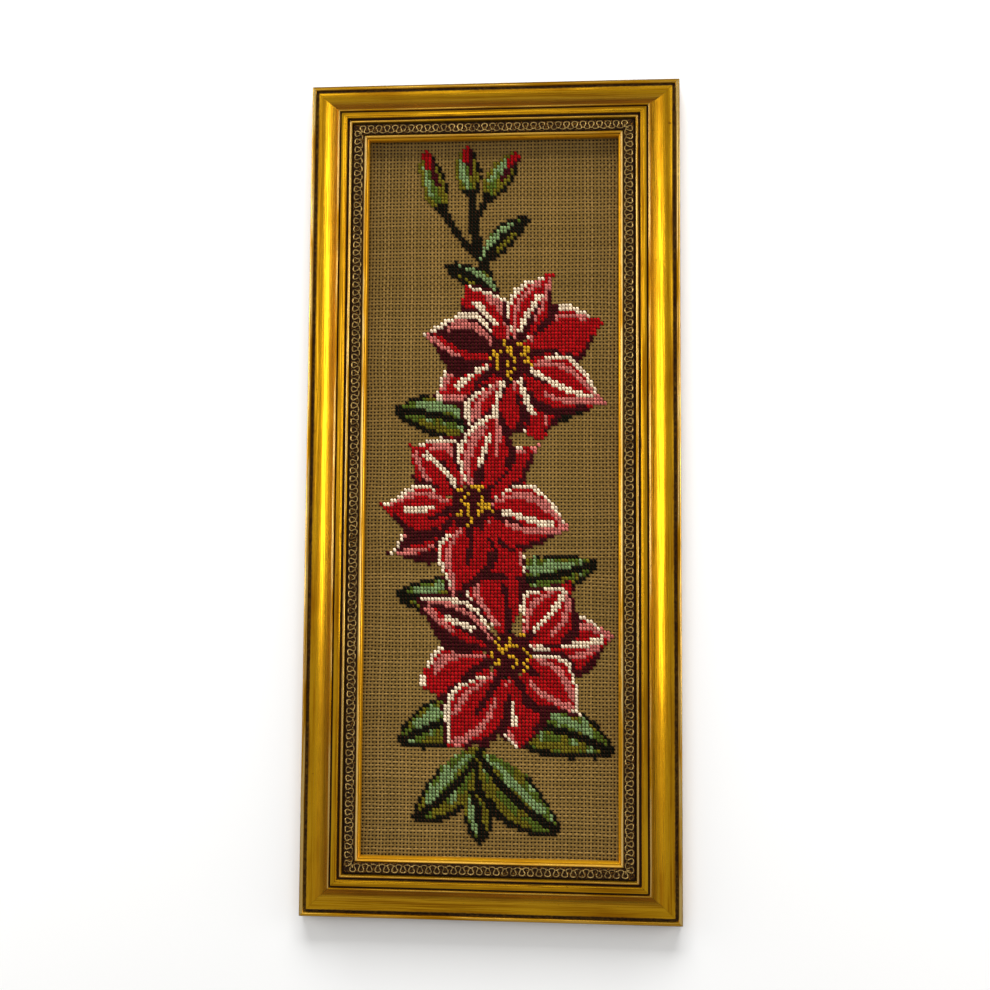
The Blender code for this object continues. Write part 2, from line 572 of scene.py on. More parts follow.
def makeWool(name, colour):
    material, tree, shader = newMaterial(name)
    plies = placeGroup(
        tree, twistGroup, Map=mapOf(tree, "lay"), Turns=yarn["turns"], Plies=yarn["plies"]
    )
    tone = remap(tree, attributeOf(tree, "tone"), 0, 1, *yarn["toneRange"])
    fuzz = remap(tree, plies["Fuzz"], *patternEdges["fuzz"], *yarn["fuzzRange"])
    scale = maths(tree, "MULTIPLY", tone, fuzz)
    grey = tree.nodes.new("ShaderNodeCombineColor")
    for socket in grey.inputs:
        tree.links.new(scale, socket)
    shaded = mixColours(tree, 1.0, (*colour, 1), grey.outputs[0], "MULTIPLY")
    tree.links.new(shaded, shader.inputs["Base Color"])
    shader.inputs["Roughness"].default_value = yarn["roughness"]
    shader.inputs["Specular IOR Level"].default_value = yarn["specular"]
    shader.inputs["Sheen Weight"].default_value = yarn["sheen"]
    shader.inputs["Sheen Roughness"].default_value = yarn["sheenRoughness"]
    shader.inputs["Sheen Tint"].default_value = (*[0.5 + 0.5 * c for c in colour], 1)
    addBump(tree, shader, plies["Height"], yarn["relief"], yarn["reliefStrength"])
    return material


report("finishes")

# The moulding's face, from the outer edge inwards, in millimetres over the back.
# feature, shape, width, height at its outer edge, at its inner edge, rise of a bead
moulding = {
    "features": [
        ("outerBead", "bead", 3.0, 9.2, 9.2, 1.0),
        ("outerGroove", "groove", 2.0, 8.6, 8.6, 0.0),
        ("cove", "cove", 16.8, 10.2, 20.0, 0.0),
        ("crestBead", "bead", 1.5, 20.0, 20.0, 0.9),
        ("crestGroove", "groove", 1.3, 19.2, 19.2, 0.0),
        ("fillet", "flat", 2.7, 20.9, 20.9, 0.0),
        ("filletBead", "bead", 1.5, 20.6, 20.6, 0.9),
        ("middleGroove", "groove", 1.5, 19.4, 19.4, 0.0),
        ("thinBead", "bead", 1.8, 20.0, 20.0, 0.9),
        ("deepGroove", "groove", 1.3, 17.4, 17.4, 0.0),
        ("ornamentChannel", "groove", 7.5, 18.6, 18.6, 0.0),
        ("slipRib", "bead", 2.0, 18.4, 18.0, 0.9),
        ("slipEdge", "bead", 1.5, 17.2, 15.2, 0.8),
    ],
    "wornAndHighlitBeads": ("outerBead", "crestBead", "thinBead", "slipRib"),
    "wearAndHighlightShare": (0.25, 0.85),  # on the rails and on the stiles, which hands hold; also a painted highlight, strongest on the stiles
    "beadSteps": 8,
    "coveSteps": 20,
    "coveLowPoint": 0.12,
    "coveDirtAndShadeWidth": 1.6,  # how far dark wax and painted shade spread up the cove from the outer groove
    # how much dark wax and painted shade lie in each place, against 1 on a groove's floor
    "coveDirtAndShade": 0.85,
    "outerGrooveDirtAndShade": 0.82,
    "beadFootDirtAndShade": 0.7,
    "sightEdgeDirtAndShade": 0.3,
    # the outer wall is darker towards the bottom, up to the height below
    "outerWallDarkening": 0.75,
    "outerWallDarkeningHeight": 8.0,
    "lipBack": 12.4,
    "rabbetWidth": 5.3,
    "edgeSoftness": 0.14,
    "lengthSteps": 60,
    "handWave": 0.10,  # how far the gilded face wanders from true
    "handWaveLength": (45, 9),  # along a side and across it
    "mitreGap": 0.06,
    "sharpAngle": 38,
}
memberWidth = sum(row[2] for row in moulding["features"])

outerWide = cadBounds[1][0] - cadBounds[0][0]
outerHigh = cadBounds[1][1] - cadBounds[0][1]
# side, CAD nodes, length, middle of its outer face, turn about Z
sides = [
    ("bottom", "rail_bottom", "ornament_bottom", outerWide, (0, -outerHigh / 2), 0.0),
    ("right", "stile_right", "ornament_right", outerHigh, (outerWide / 2, 0), math.pi / 2),
    ("top", "rail_top", "ornament_top", outerWide, (0, outerHigh / 2), math.pi),
    ("left", "stile_left", "ornament_left", outerHigh, (-outerWide / 2, 0), -math.pi / 2),
]


def sidePlace(middle, turn):
    return Matrix.Translation((*middle, 0)) @ Matrix.Rotation(turn, 4, "Z")


def featureStart(name):
    names = [row[0] for row in moulding["features"]]
    return sum(row[2] for row in moulding["features"][: names.index(name)])


def featurePoints(shape, start, width, outerZ, innerZ, rise):
    steps = {"bead": moulding["beadSteps"], "cove": moulding["coveSteps"]}.get(shape, 1)
    for step in range(steps + 1):
        across = step / steps
        height = outerZ + (innerZ - outerZ) * across
        if shape == "bead":
            across = (1 - math.cos(math.pi * step / steps)) / 2
            height = outerZ + (innerZ - outerZ) * across + rise * math.sin(math.pi * step / steps)
        if shape == "cove":
            low = moulding["coveLowPoint"]
            height = outerZ + (innerZ - outerZ) * ((across - low) / (1 - low)) ** 2
        yield start + width * across, height


def sectionPoints():
    points = []
    start = 0.0
    for _, shape, width, outerZ, innerZ, rise in moulding["features"]:
        for point in featurePoints(shape, start, width, outerZ, innerZ, rise):
            if not points or math.dist(points[-1], point) > 0.01:
                points.append(point)
        start += width
    wall = memberWidth - moulding["rabbetWidth"]
    lip = moulding["lipBack"]
    return points + [(memberWidth, lip), (wall, lip), (wall, 0.0), (0.0, 0.0)]


def dirtAndShadeShare(inset, height):
    # Share of dark wax and painted shade: 1 on a groove's floor, less at the feet of ribs and cove, on
    # the outer wall darker towards the bottom, else 0
    if inset < 0.05:
        return moulding["outerWallDarkening"] * (1 - min(height / moulding["outerWallDarkeningHeight"], 1))
    start = 0.0
    for name, shape, width, floor, innerFloor, _ in moulding["features"]:
        within = start - 0.1 <= inset <= start + width + 0.1
        foot = floor + (innerFloor - floor) * (inset - start) / width
        if shape == "groove" and within and height < floor + 0.45:
            return moulding["outerGrooveDirtAndShade"] if name == "outerGroove" else 1.0
        if shape == "bead" and within and height < foot + 0.1:
            atSight = inset >= memberWidth - 0.2
            return moulding["sightEdgeDirtAndShade"] if atSight else moulding["beadFootDirtAndShade"]
        if shape == "cove" and start <= inset < start + moulding["coveDirtAndShadeWidth"]:
            return moulding["coveDirtAndShade"] * (1 - (inset - start) / moulding["coveDirtAndShadeWidth"])
        start += width
    return 0.0


def crownWearAndHighlightShare(inset, height):
    # 1 on the crown of a thin bead, where the gold is rubbed and a pale painted highlight lies
    start = 0.0
    for name, _, width, floor, innerFloor, rise in moulding["features"]:
        if name in moulding["wornAndHighlitBeads"] and start <= inset <= start + width:
            foot = floor + (innerFloor - floor) * (inset - start) / width
            return min(1, max(0, (height - foot) / rise - 0.5) * 2.5)
        start += width
    return 0.0


def buildMoulding(side, cadNode, length, middle, turn, materials):
    bm = bmesh.new()
    ring = [bm.verts.new((0, inset, height)) for inset, height in sectionPoints()]
    section = bm.faces.new(ring)
    corners = [v for v in ring if v.calc_edge_angle(0) > math.radians(50)]
    bmesh.ops.bevel(
        bm,
        geom=corners,
        offset=moulding["edgeSoftness"],
        segments=2,
        affect="VERTICES",
        profile=0.5,
        material=-1,
    )
    bmesh.ops.delete(bm, geom=bm.faces[:], context="FACES_ONLY")
    steps = moulding["lengthSteps"]
    bmesh.ops.spin(
        bm,
        geom=bm.verts[:] + bm.edges[:],
        cent=(0, 0, 0),
        axis=(1, 0, 0),
        dvec=(1 / steps, 0, 0),
        angle=0,
        steps=steps,
    )
    bmesh.ops.remove_doubles(bm, verts=bm.verts, dist=1e-5)
    bmesh.ops.holes_fill(bm, edges=[e for e in bm.edges if e.is_boundary], sides=0)
    bmesh.ops.recalc_face_normals(bm, faces=bm.faces)
    bm.normal_update()
    rabbetWall = memberWidth - moulding["rabbetWidth"] - 0.2
    for face in bm.faces:
        middleOf = face.calc_center_median()
        behind = middleOf.z < 0.4 or (middleOf.y > rabbetWall and middleOf.z < moulding["lipBack"] + 0.05)
        face.material_index = 1 if behind and abs(face.normal.x) < 0.5 else 0
    lay = bm.loops.layers.uv.new("lay")
    dirtAndShadeShares, slips, crownWearAndHighlights = [], [], []
    wearAndHighlight = moulding["wearAndHighlightShare"][side in ("left", "right")]
    half = length / mm / 2
    slipStart = featureStart("slipRib") - 0.1
    for vert in bm.verts:
        share, inset, height = vert.co
        dirtAndShadeShares.append(dirtAndShadeShare(inset, height))
        crownWearAndHighlights.append(wearAndHighlight * crownWearAndHighlightShare(inset, height))
        slips.append(float(inset > slipStart and height > moulding["lipBack"]))
        along = (2 * share - 1) * (half - inset - moulding["mitreGap"])
        if height > 1 and inset < memberWidth - 0.5:
            alongWave, acrossWave = moulding["handWaveLength"]
            wander = noise.noise_vector(Vector((along / alongWave, inset / acrossWave, len(side))))
            inset += moulding["handWave"] * wander.y * min(inset, 1)
            height += moulding["handWave"] * wander.z
        vert.co = (along, inset, height)
    for face in bm.faces:
        for loop in face.loops:
            along, inset, height = loop.vert.co
            loop[lay].uv = (along * mm, (inset + height) * mm)
    bmesh.ops.scale(bm, vec=(mm, mm, mm), verts=bm.verts)
    bmesh.ops.transform(bm, matrix=sidePlace(middle, turn), verts=bm.verts)
    piece = meshObject("moulding_" + side, bm, materials, moulding["sharpAngle"])
    writeValues(piece.data, "groove", dirtAndShadeShares)
    writeValues(piece.data, "slip", slips)
    writeValues(piece.data, "crownWearAndHighlight", crownWearAndHighlights)
    settle(piece, "gilt", cadNode)


giltMaterials = [
    makeGilt("giltMoulding", 0.45, 0.02, finish["gold"], finish["goldDull"]),
    makeWood("barePine", finish["pine"], finish["pineDark"], True, 0.8),  # the back and the rabbet
]
for side, cadNode, _, length, middle, turn in sides:
    buildMoulding(side, cadNode, length, middle, turn, giltMaterials)
report("moulding")

ornament = {
    "centre": 3.75,  # of the meander, from the channel's outer edge
    "pitch": 5.84,
    "swing": 2.75,  # half the meander's width across the band
    "overhang": 1.2,  # how far a head bulges past its neck
    "ridge": 0.43,  # half the ridge's width
    "ridgeLift": 0.15,
    "wobble": 0.12,
    "wobbleLength": 3,
    "stepsInUnit": 16,
    "dot": 0.58,
    "dotInset": 1.7,
    "dotLift": 0.1,
    # Dark wax and painted shade on the meander's flanks, most at its foot
    "footDirtAndShade": 0.95,
    "crownClear": 1.6,  # how fast the dark wax and painted shade thin out with height
    "innerWear": 0.3,  # the joints on the inner side have lost more of their gold
}


def buildOrnament(side, ornamentNode, length, middle, turn, material):
    centreLine = featureStart("ornamentChannel") + ornament["centre"]
    run = length / mm - 2 * centreLine
    units = round(run / ornament["pitch"])
    pitch = run / units
    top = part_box(ornamentNode)[1][2] / mm
    curve = bpy.data.curves.new("meander", "CURVE")
    curve.dimensions = "3D"
    curve.bevel_depth = ornament["ridge"]
    curve.bevel_resolution = 1
    curve.use_fill_caps = True
    line = curve.splines.new("POLY")
    count = units * ornament["stepsInUnit"]
    line.points.add(count)
    for step, point in enumerate(line.points):
        phase = 2 * math.pi * step / ornament["stepsInUnit"] - math.pi
        bulge = ornament["overhang"] * math.sin(2 * phase)
        along = pitch * (phase + math.pi) / (2 * math.pi) - run / 2 + bulge
        across = centreLine - ornament["swing"] * math.cos(phase)
        spot = Vector((along / ornament["wobbleLength"], across / ornament["wobbleLength"], len(side)))
        wobble = noise.noise(spot) * ornament["wobble"]
        point.co = (along, across + wobble, top + ornament["ridgeLift"], 1)
    guide = bpy.data.objects.new("meander", curve)
    bpy.context.scene.collection.objects.link(guide)
    bpy.context.view_layer.update()
    ridge = bpy.data.meshes.new_from_object(guide.evaluated_get(bpy.context.evaluated_depsgraph_get()))
    bpy.data.objects.remove(guide, do_unlink=True)
    bm = bmesh.new()
    bm.from_mesh(ridge)
    bpy.data.meshes.remove(ridge)
    for unit in range(units):
        along = pitch * (unit + 0.5) - run / 2
        spot = Vector((along, centreLine + ornament["dotInset"], top + ornament["dotLift"]))
        bmesh.ops.create_uvsphere(
            bm, u_segments=8, v_segments=5, radius=ornament["dot"], matrix=Matrix.Translation(spot)
        )
    bmesh.ops.recalc_face_normals(bm, faces=bm.faces)
    dirtAndShadeShares = []
    for vert in bm.verts:
        dirtAndShade = max(0.0, ornament["footDirtAndShade"] - ornament["crownClear"] * (vert.co.z - top))
        dirtAndShadeShares.append(dirtAndShade + ornament["innerWear"] * (vert.co.y > centreLine))
    lay = bm.loops.layers.uv.verify()
    bm.loops.layers.uv.remove(lay)
    lay = bm.loops.layers.uv.new("lay")
    for face in bm.faces:
        for loop in face.loops:
            loop[lay].uv = (loop.vert.co.x * mm, (loop.vert.co.y + loop.vert.co.z) * mm)
    bmesh.ops.scale(bm, vec=(mm, mm, mm), verts=bm.verts)
    bmesh.ops.transform(bm, matrix=sidePlace(middle, turn), verts=bm.verts)
    piece = meshObject("meander_" + side, bm, [material])
    writeValues(piece.data, "groove", dirtAndShadeShares)
    settle(piece, "ornament")


ridgeGold = makeGilt("giltMeander", 1.3, 0.4, finish["meander"], finish["meanderDull"])
groundMaterial = makeGround()
for side, _, ornamentNode, length, middle, turn in sides:
    buildOrnament(side, ornamentNode, length, middle, turn, ridgeGold)
    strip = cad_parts[ornamentNode]
    strip.data.materials.clear()
    strip.data.materials.append(groundMaterial)
report("ornament")

boardMaterial = makeWood("brownBoardWithPaintedShade", finish["board"], finish["boardDark"], False, 0.9)
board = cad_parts["backing_board"]
board.data.materials.clear()
board.data.materials.append(boardMaterial)

canvas = {
    "pitch": 2.5,
    "pairs": 76,  # double threads across the sheet
    "rows": 208,
    "seenPairs": 72,
    "seenRows": 204,
    "threadWide": 0.68,
    "threadHigh": 0.50,
    "pairGap": 0.66,  # between the middles of a pair's two threads
    "weave": 0.20,  # how far a thread rises and falls
    "stub": 1.1,  # past the last crossing
    # how far rows and columns wander, and the length of that wave along x and y
    "slack": 1.10,
    "slackWave": (34, 42),
    "fine": 0.44,
    "fineWave": (11, 15),
    "calm": 0.3,  # share of the wander that is left in the middle
}
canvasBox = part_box("needlepoint_canvas")
canvasMiddle = (canvasBox[0][2] + canvasBox[1][2]) / 2 / mm


# The design, in cells: x from the opening's left edge and y up from its bottom edge
wool = {
    "red": (0.350, 0.004, 0.006),
    "pink": (0.56, 0.150, 0.125),
    "cream": (0.82, 0.64, 0.44),
    "maroon": (0.046, 0.004, 0.006),
    "ochre": (0.60, 0.32, 0.015),
    "dark": (0.006, 0.006, 0.003),
    "olive": (0.135, 0.112, 0.008),
    "leaf": (0.075, 0.110, 0.012),
    "pale": (0.185, 0.275, 0.105),
}
chart = np.full((canvas["seenRows"], canvas["seenPairs"]), "", dtype=object)
cellX, cellY = np.meshgrid(np.arange(canvas["seenPairs"]) + 0.5, np.arange(canvas["seenRows"]) + 0.5)
ragged = np.random.default_rng(11).uniform(-0.25, 0.25, cellX.shape)  # unevenness of outlines

# A wavy stem carries three lilies, one above another, on alternate sides
spray = {
    "light": (-0.5, 0.85),  # the way towards the light, which picks each petal's bright side
    "stemMiddle": 36.0,
    "stemSwing": 5.5,
    "stemWave": 84.0,  # rows in one whole wave
    "stemStart": 35.0,
    "stemRows": (6, 184),
    "stemHalfWidth": 1.4,
    "petals": 8,
    "petalLength": (25.0, 32.5),
    "petalHalfWidth": (6.4, 9.6),
    "petalStart": 2.5,  # from the lily's middle
    "petalTurn": 9,
    "petalBend": 0.07,
    "petalWidest": (0.42, 0.56),
    "petalFullness": (1.15, 1.6),
    "eye": 6.0,
    "paleOver": 0.24,
    "oliveUnder": -0.18,
    "stamens": 13,
    "stamenReach": 5.4,
    "stamenTurn": 137.5,
    "stamenRaise": 1.2,
    "shadedPetals": 1,
    # bend of the stem that it grows on, heading of the first petal, seed
    "lilies": [(0, 10, 3), (2, 25, 8), (1, 38, 5)],
    # height up the stem, heading, length, half width, bend
    "leaves": [
        (168, 44, 19, 3.4, 0.08),
        (158, 148, 18, 3.2, -0.08),
        (118, 166, 29, 6.0, -0.07),
        (120, 14, 31, 5.8, 0.08),
        (78, 8, 31, 6.0, -0.08),
        (76, 186, 28, 5.6, 0.08),
        (40, 198, 29, 7.0, -0.06),
        (36, -12, 35, 7.6, 0.09),
        (30, 226, 28, 6.6, 0.07),
        (28, -42, 31, 7.0, -0.08),
        (18, -80, 15, 4.2, 0.08),
    ],
    # height up the stem, heading and length of the stalk, heading and length of the bud
    "buds": [(170, 128, 17, 108, 19), (178, 70, 9, 56, 17), (184, 100, 4, 96, 15)],
}


def stemX(y):
    wave = 2 * math.pi * (y - spray["stemStart"]) / spray["stemWave"]
    return spray["stemMiddle"] + spray["stemSwing"] * np.sin(wave)


def reachFrom(start, heading, length):
    turn = math.radians(heading)
    return np.array(start) + length * np.array((math.cos(turn), math.sin(turn)))


def brightSide(heading):
    # 1 where a blade's left side faces the light, and -1 where its right side does
    x, y = reachFrom((0, 0), heading + 90, 1)
    return 1 if x * spray["light"][0] + y * spray["light"][1] > 0 else -1


def alongPath(start, end, bend):
    # For every cell: its share of the way along a bowed path, and how far to the left of it
    run = np.subtract(end, start)
    share = np.linspace(0, 1, 41)[:, None]
    path = start + share * run + 4 * bend * share * (1 - share) * np.array((-run[1], run[0]))
    ways = np.gradient(path, axis=0)
    ways /= np.linalg.norm(ways, axis=1)[:, None]
    apart = np.stack((cellX, cellY), axis=-1)[:, :, None] - path
    near = (apart**2).sum(-1).argmin(-1)
    offset = np.take_along_axis(apart, near[..., None, None], axis=2)[:, :, 0]
    way = ways[near]
    aside = way[..., 0] * offset[..., 1] - way[..., 1] * offset[..., 0]
    return share[near, 0] + (offset * way).sum(-1) / np.linalg.norm(run), aside


def drawLine(colour, start, end, wide, bend):
    share, aside = alongPath(start, end, bend)
    chart[(abs(aside) <= max(wide / 2, 0.58)) & (share >= -0.01) & (share <= 1.01)] = colour


def drawBlade(ground, streaks, start, heading, length, halfWidth, bend, widest, fullness):
    # Each streak: colour, from and to along the blade, side at both ends (1 is the bright edge
    # and -1 the shaded one) and width at both ends in cells
    share, aside = alongPath(start, reachFrom(start, heading, length), bend)
    aside = aside * brightSide(heading)
    swell = np.sin(np.pi * np.clip(share, 0, 1) ** (math.log(0.5) / math.log(widest))) ** fullness
    inside = (abs(aside) <= halfWidth * swell + ragged) & (share >= 0) & (share <= 1)
    rim = (abs(aside) <= halfWidth * swell + 1.1) & (share > 0.25) & (share < 0.97) & ~inside
    chart[rim & (chart != "")] = "dark" if ground == "leaf" else "maroon"
    chart[inside] = ground
    for colour, first, last, sideA, sideB, wideA, wideB in streaks:
        part = np.clip((share - first) / (last - first), 0, 1)
        middle = (sideA + (sideB - sideA) * part) * halfWidth * swell
        reach = np.maximum((wideA + (wideB - wideA) * part) / 2, 0.6)
        chart[inside & (abs(aside - middle) <= reach) & (share >= first) & (share <= last)] = colour


def petalStreaks(luck, shaded):
    # A dark throat, the bright side's pink band and cream edge, the shaded edge and stray veins
    pick = luck.uniform
    streaks = [
        ("maroon", 0.0, pick(0.3, 0.6), pick(-0.35, 0.05), pick(-0.4, 0.2), pick(2.0, 4.0), 1.3),
        ("pink", pick(0.08, 0.2), pick(0.7, 0.95), 0.6, pick(0.45, 0.65), 1.3, pick(1.4, 3.6)),
        ("cream", pick(0.08, 0.3), pick(0.8, 0.98), 0.93, 0.9, 1.4, pick(1.4, 2.6)),
        ("maroon", pick(0.2, 0.45), pick(0.75, 0.96), -0.92, -0.9, 1.3, pick(1.3, 2.4)),
    ]
    if luck.random() < 0.5:
        first, last, sideA, sideB = pick(0.12, 0.4), pick(0.6, 0.9), pick(0.0, 0.3), pick(-0.2, 0.2)
        streaks.append(("cream", first, last, sideA, sideB, 1.5, pick(1.6, 2.4)))
    if luck.random() < 0.4:
        first, last, sideA = pick(0.2, 0.5), pick(0.8, 0.97), pick(-0.6, -0.3)
        streaks.append(("pink", first, last, sideA, -0.45, 1.2, pick(1.4, 2.8)))
    if luck.random() < 0.35:
        streaks.append((luck.choice(("cream", "pink")), 0.88, 1.0, 0.3, 0.0, 3.0, 3.0))
    if shaded:
        streaks[0] = ("red", 0.15, pick(0.7, 0.9), -0.4, -0.3, 1.4, 3.0)
    return streaks


def drawLily(stemBend, heading, seed):
    luck = random.Random(seed)
    height = spray["stemStart"] + spray["stemWave"] * (0.25 + 0.5 * stemBend)
    centre = np.array((stemX(height), height))
    count = spray["petals"]
    shaded = luck.sample(range(count), spray["shadedPetals"])
    for k in [*range(0, count, 2), *range(1, count, 2)]:
        turn = heading + 360 * k / count + luck.uniform(-spray["petalTurn"], spray["petalTurn"])
        drawBlade(
            "maroon" if k in shaded else "red",
            petalStreaks(luck, k in shaded),
            reachFrom(centre, turn, spray["petalStart"]),
            turn,
            luck.uniform(*spray["petalLength"]) - spray["petalStart"],
            luck.uniform(*spray["petalHalfWidth"]),
            luck.uniform(-spray["petalBend"], spray["petalBend"]),
            luck.uniform(*spray["petalWidest"]),
            luck.uniform(*spray["petalFullness"]),
        )
    chart[np.hypot(cellX - centre[0], cellY - centre[1]) < spray["eye"] + 2 * ragged] = "maroon"
    for k in range(spray["stamens"]):
        # Stamens are clumps scattered over the eye
        far = spray["stamenReach"] * math.sqrt((k + 0.6) / spray["stamens"])
        middle = (centre[0], centre[1] + spray["stamenRaise"])
        x, y = reachFrom(middle, spray["stamenTurn"] * k + 40 * seed, far)
        for _ in range(luck.choice((2, 3, 3, 4))):
            chart[int(y), int(x)] = "ochre"
            x += luck.choice((-1, 0, 0, 1))
            y -= luck.choice((0, 1, 1))


def drawLeaf(height, heading, length, halfWidth, bend):
    streaks = [
        ("olive", 0.0, 0.75, -0.65, -0.6, 2.6, 1.8),
        ("pale", 0.12, 0.8, 0.5, 0.4, 1.4, 2.6),
        ("dark", 0.0, 1.0, 0.0, 0.0, 1.6, 2.2),
        ("dark", 0.05, 1.0, -0.94, -0.94, 2.2, 2.2),
        ("dark", 0.45, 1.0, 0.96, 0.96, 1.3, 1.6),
    ]
    drawBlade("leaf", streaks, (stemX(height), height), heading, length, halfWidth, bend, 0.46, 0.65)


def drawBud(height, stalkHeading, stalkLength, heading, length):
    foot = np.array((stemX(height), height))
    start = reachFrom(foot, stalkHeading, stalkLength)
    drawLine("dark", foot, start, 1.9, 0.06)
    streaks = [
        ("leaf", 0.1, 0.7, 0.2, 0.2, 2.4, 1.6),
        ("pale", 0.3, 0.8, 0.5, 0.4, 1.4, 1.4),
        ("maroon", 0.4, 0.95, -0.3, -0.2, 1.2, 2.4),
        ("red", 0.7, 1.0, 0.1, 0.0, 1.4, 2.6),
        ("dark", 0.0, 0.14, 0.0, 0.0, 9.0, 9.0),
        ("dark", 0.0, 0.9, -0.95, -0.95, 1.4, 1.4),
    ]
    drawBlade("olive", streaks, start, heading, length, 3.7, 0.03, 0.45, 0.55)


def drawSpray():
    low, high = spray["stemRows"]
    stem = (abs(cellX - stemX(cellY)) < spray["stemHalfWidth"]) & (cellY > low) & (cellY < high)
    chart[stem] = "dark"
    for row in spray["leaves"]:
        drawLeaf(*row)
    for row in spray["buds"]:
        drawBud(*row)
    for row in spray["lilies"]:
        drawLily(*row)
    for row, column in np.argwhere(chart == "leaf"):
        # Leaves are worked in short upright runs of three greens
        value = noise.noise(Vector((column * 0.45, row * 0.12, 4.0)))
        if value > spray["paleOver"]:
            chart[row, column] = "pale"
        elif value < spray["oliveUnder"]:
            chart[row, column] = "olive"


drawSpray()
report("chart with %d stitches" % int((chart != "").sum()))


def pulled(x, y):
    # The canvas was never quite square: its rows and columns wander, most near the sides
    halfWide = canvas["seenPairs"] * canvas["pitch"] / 2
    reach = canvas["calm"] + (1 - canvas["calm"]) * min(1, (abs(x) / halfWide) ** 3)
    (slowX, slowY), (fineX, fineY) = canvas["slackWave"], canvas["fineWave"]
    slow = noise.noise_vector(Vector((x / slowX, y / slowY, 3.1)))
    fine = noise.noise_vector(Vector((x / fineX, y / fineY, 8.4)))
    dx = reach * (canvas["slack"] * slow.x + canvas["fine"] * fine.x)
    dy = reach * (canvas["slack"] * slow.y + canvas["fine"] * fine.y)
    return x + dx, y + dy


def buildThreads(name, threads, crossings, crosswise, material):
    # One pair over-and-under, its neighbour under-and-over, and then copies of both
    pitch = canvas["pitch"]
    bm = bmesh.new()
    wide, high = canvas["threadWide"] / 2, canvas["threadHigh"] / 2
    for pair in (0, 1):
        for offset in (-canvas["pairGap"] / 2, canvas["pairGap"] / 2):
            centre = (pair + 0.5 - threads / 2) * pitch + offset
            start = (0.5 - crossings / 2) * pitch
            corners = ((-wide, -high), (wide, -high), (0, high))
            ring = [bm.verts.new((centre + dx, start, dz)) for dx, dz in corners]
            edges = [bm.edges.new((ring[i], ring[(i + 1) % 3])) for i in range(3)]
            swept = bmesh.ops.spin(
                bm,
                geom=ring + edges,
                cent=(0, 0, 0),
                axis=(0, 1, 0),
                dvec=(0, pitch, 0),
                angle=0,
                steps=crossings - 1,
            )
            last = [item for item in swept["geom_last"] if isinstance(item, bmesh.types.BMEdge)]
            for loop in (edges, last):
                bmesh.ops.contextual_create(bm, geom=loop)
    bmesh.ops.recalc_face_normals(bm, faces=bm.faces)
    bmesh.ops.spin(
        bm,
        geom=bm.verts[:] + bm.edges[:] + bm.faces[:],
        cent=(0, 0, 0),
        axis=(0, 0, 1),
        dvec=(2 * pitch, 0, 0),
        angle=0,
        steps=threads // 2 - 1,
        use_duplicate=True,
    )
    dice = random.Random(len(name) + threads)
    tones = [dice.random() for _ in range(2 * threads)]
    tone, printedAndShaded = [], []
    farEnd = (crossings / 2 - 0.5) * pitch
    for vert in bm.verts:
        x, y, z = vert.co
        pair = math.floor(x / pitch + threads / 2)
        crossing = round(y / pitch + crossings / 2 - 0.5)
        across = x - (pair + 0.5 - threads / 2) * pitch
        tone.append(tones[max(0, min(2 * threads - 1, 2 * pair + (across > 0)))])
        z += canvas["weave"] * (1 if (pair + crossing + crosswise) % 2 else -1)
        y += math.copysign(canvas["stub"], y) if abs(y) > farEnd - 0.1 else 0
        if crosswise:
            x, y = y, x
        column = math.floor(x / pitch + canvas["seenPairs"] / 2)
        row = math.floor(y / pitch + canvas["seenRows"] / 2)
        seen = 0 <= column < canvas["seenPairs"] and 0 <= row < canvas["seenRows"]
        # threads in a stitched cell get the dark print and painted shade
        printedAndShaded.append(float(seen and chart[row, column] != ""))
        x, y = pulled(x, y)
        vert.co = (x * mm, y * mm, (z + canvasMiddle) * mm)
    bmesh.ops.recalc_face_normals(bm, faces=bm.faces)
    piece = meshObject(name, bm, [material])
    writeValues(piece.data, "tone", tone)
    writeValues(piece.data, "printedAndShaded", printedAndShaded)
    return piece


threadMaterial = makeCanvasThread()
warp = buildThreads("canvas_warp", canvas["pairs"], canvas["rows"], 0, threadMaterial)
weft = buildThreads("canvas_weft", canvas["rows"], canvas["pairs"], 1, threadMaterial)
settle(warp, "canvas", "needlepoint_canvas")
settle(weft, "canvas")
report("canvas weave")

stitch = {
    "thick": 0.95,  # strand's height
    "wide": 1.98,  # strand's width where it crosses the threads
    "dive": 0.72,  # how far its ends go down into the holes
    "lift": 0.52,  # the crossing's height over the canvas's middle
    "slant": -1.13,  # steeper than the mesh's own diagonal, as the wool fills its cell
    "length": 3.1,
    "endThinning": 0.26,
    "sides": 6,
    "steps": 4,
    # a hand's unevenness
    "slantSpread": 0.06,
    "placeSpread": 0.05,
    "lengthShare": (0.96, 1.04),
    "wideShare": (0.9, 1.1),
    "thickShare": (0.92, 1.1),
}


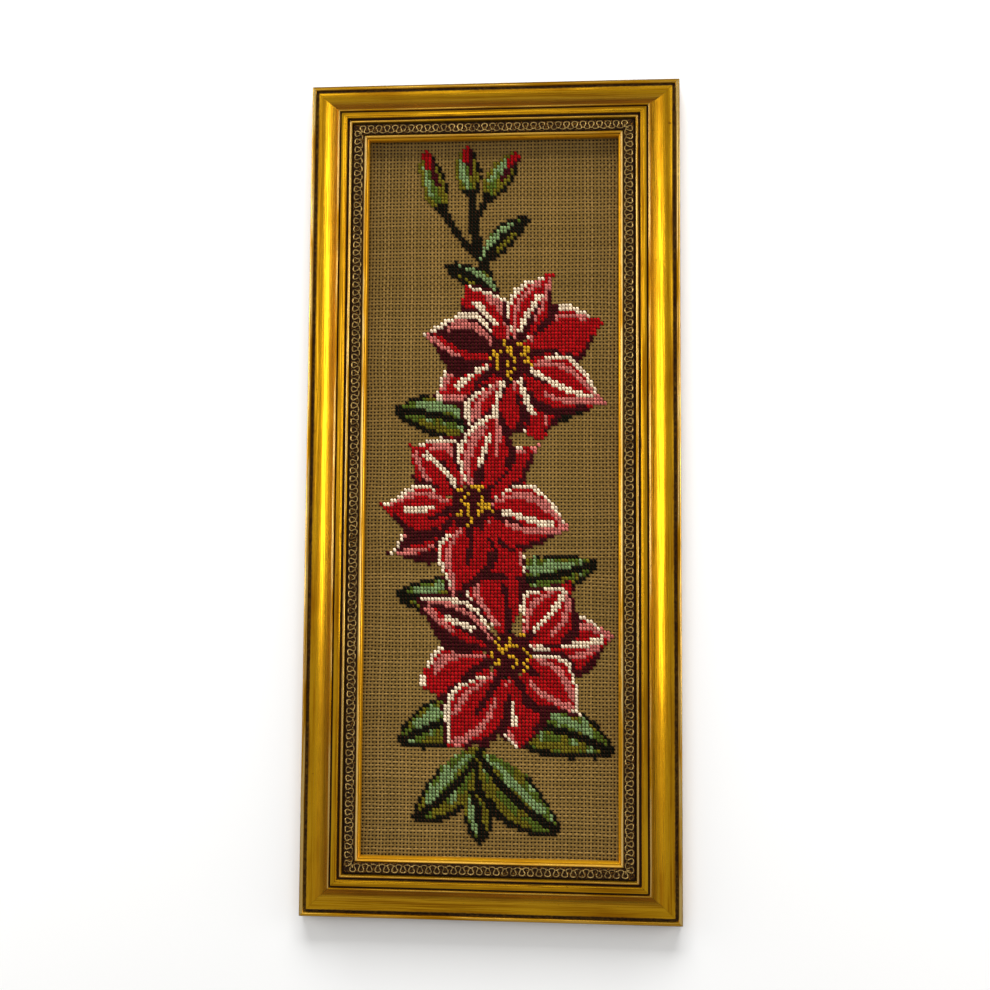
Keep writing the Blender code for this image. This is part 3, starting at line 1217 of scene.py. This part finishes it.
def buildStrand():
    # One half-cross stitch, lying along X from hole to hole, as long and as thick as 1
    bm = bmesh.new()
    end = Matrix.Translation((-0.5, 0, 0)) @ Matrix.Rotation(math.pi / 2, 4, "Y")
    bmesh.ops.create_circle(bm, segments=stitch["sides"], radius=0.5, matrix=end)
    bmesh.ops.spin(
        bm,
        geom=bm.verts[:] + bm.edges[:],
        cent=(0, 0, 0),
        axis=(1, 0, 0),
        dvec=(1 / stitch["steps"], 0, 0),
        angle=0,
        steps=stitch["steps"],
    )
    bmesh.ops.remove_doubles(bm, verts=bm.verts, dist=1e-5)
    lay = bm.loops.layers.uv.new("lay")
    for face in bm.faces:
        for loop in face.loops:
            around = math.atan2(loop.vert.co.z, loop.vert.co.y) / (2 * math.pi)
            loop[lay].uv = (loop.vert.co.x + 0.5, around)
        turns = [loop[lay].uv.y for loop in face.loops]
        if max(turns) - min(turns) > 0.5:
            for loop in face.loops:
                loop[lay].uv.y += 1 if loop[lay].uv.y < 0 else 0
    bmesh.ops.holes_fill(bm, edges=[e for e in bm.edges if e.is_boundary], sides=0)
    bmesh.ops.recalc_face_normals(bm, faces=bm.faces)
    for vert in bm.verts:
        toEnd = abs(2 * vert.co.x) ** 0.7
        thin = 1 - stitch["endThinning"] * toEnd**2
        vert.co.x = math.copysign(toEnd / 2, vert.co.x)
        vert.co.y *= thin
        vert.co.z *= thin
    mesh = bpy.data.meshes.new("strand")
    bm.to_mesh(mesh)
    bm.free()
    return mesh


def buildStitches(colour, strand):
    pitch = canvas["pitch"]
    dice = random.Random(colour)
    count = len(strand.vertices)
    plain = np.empty(count * 3)
    strand.vertices.foreach_get("co", plain)
    plain = plain.reshape(-1, 3)
    bm = bmesh.new()
    tones = []
    for row, column in np.argwhere(chart == colour):
        x, y = pulled(
            (column + 0.5 - canvas["seenPairs"] / 2) * pitch, (row + 0.5 - canvas["seenRows"] / 2) * pitch
        )
        angle = stitch["slant"] + dice.gauss(0, stitch["slantSpread"])
        length = stitch["length"] * dice.uniform(*stitch["lengthShare"])
        wide = stitch["wide"] * dice.uniform(*stitch["wideShare"])
        thick = stitch["thick"] * dice.uniform(*stitch["thickShare"])
        ends = 2 * plain[:, 0]
        along = plain[:, 0] * length
        aside = plain[:, 1] * wide
        up = plain[:, 2] * thick - stitch["dive"] * ends**2 + stitch["lift"]
        points = np.empty_like(plain)
        straying = stitch["placeSpread"]
        points[:, 0] = x + dice.gauss(0, straying) + along * math.cos(angle) - aside * math.sin(angle)
        points[:, 1] = y + dice.gauss(0, straying) + along * math.sin(angle) + aside * math.cos(angle)
        points[:, 2] = canvasMiddle + up
        strand.vertices.foreach_set("co", (points * mm).ravel())
        bm.from_mesh(strand)
        tones.append(dice.random())
    piece = meshObject("stitches_" + colour, bm, [makeWool(colour + "Wool", wool[colour])])
    writeValues(piece.data, "tone", np.repeat(tones, count))
    settle(piece, "canvas")
    strand.vertices.foreach_set("co", plain.ravel())
    return piece


strandMesh = buildStrand()
stitched = [buildStitches(colour, strandMesh) for colour in wool]
bpy.data.meshes.remove(strandMesh)
report("stitches")
